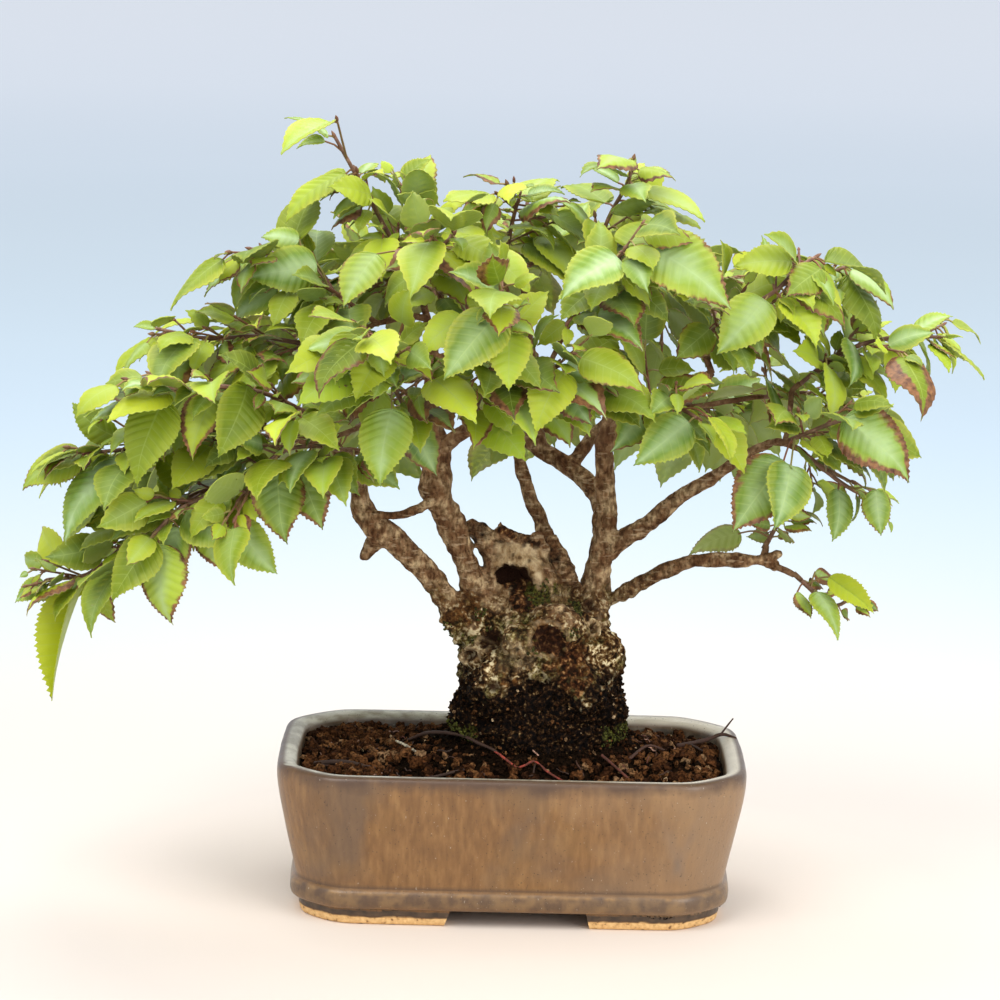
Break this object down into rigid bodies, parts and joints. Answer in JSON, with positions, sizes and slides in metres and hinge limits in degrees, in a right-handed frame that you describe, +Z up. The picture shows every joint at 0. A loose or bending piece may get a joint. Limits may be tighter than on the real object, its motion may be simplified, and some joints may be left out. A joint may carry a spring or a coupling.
{
  "type": "korean hornbeam bonsai in a glazed pot",
  "caption": "Old hornbeam bonsai with a stout scarred trunk, spreading limbs and leafy sprays, standing in soil in a shallow glazed stoneware pot with feet.",
  "frame": {"origin": "on the surface that the pot stands on, under the middle of the whole object's bounding box", "axes": "+X to the right of the front view along the pot's long side, +Y to the rear, +Z up"},
  "size_m": [0.406, 0.2542, 0.3348],
  "materials": {
    "pot_glaze": "satin olive brown glaze with fine vertical streaks and bluish smoky patches, bare tan clay at the feet",
    "soil": "matte clay granules in dark humus",
    "drain_net": "matte black plastic net",
    "bark": "rough grey brown bark with dark hollows, pale dead wood and moss",
    "leaf": "satin green leaves with pleated veins, on red-brown twigs"
  },
  "bodies": {
    "root": {"drain_net_left": "drain_net", "drain_net_right": "drain_net", "pot": "pot_glaze", "soil": "soil", "spray_front_high": "leaf", "spray_front_left": "leaf", "spray_front_middle": "leaf", "spray_front_middle_low": "leaf", "spray_front_right": "leaf", "spray_leader": "leaf", "spray_left_front": "leaf", "spray_left_front_low": "leaf", "spray_left_hanging": "leaf", "spray_left_high": "leaf", "spray_left_tip_high": "leaf", "spray_left_tip_low": "leaf", "spray_left_upper": "leaf", "spray_rear_high_left": "leaf", "spray_rear_high_middle": "leaf", "spray_rear_high_right": "leaf", "spray_rear_left": "leaf", "spray_rear_left_hanging": "leaf", "spray_rear_left_low": "leaf", "spray_rear_middle_low": "leaf", "spray_rear_right": "leaf", "spray_rear_right_hanging": "leaf", "spray_right_high": "leaf", "spray_right_low": "leaf", "spray_right_low_up": "leaf", "spray_right_middle": "leaf", "spray_right_tip": "leaf", "spray_right_tip_low": "leaf", "spray_right_upper": "leaf", "spray_top_front_left": "leaf", "spray_top_left": "leaf", "spray_top_middle": "leaf", "spray_top_right": "leaf", "trunk": "bark"}
  },
  "joints": []
}
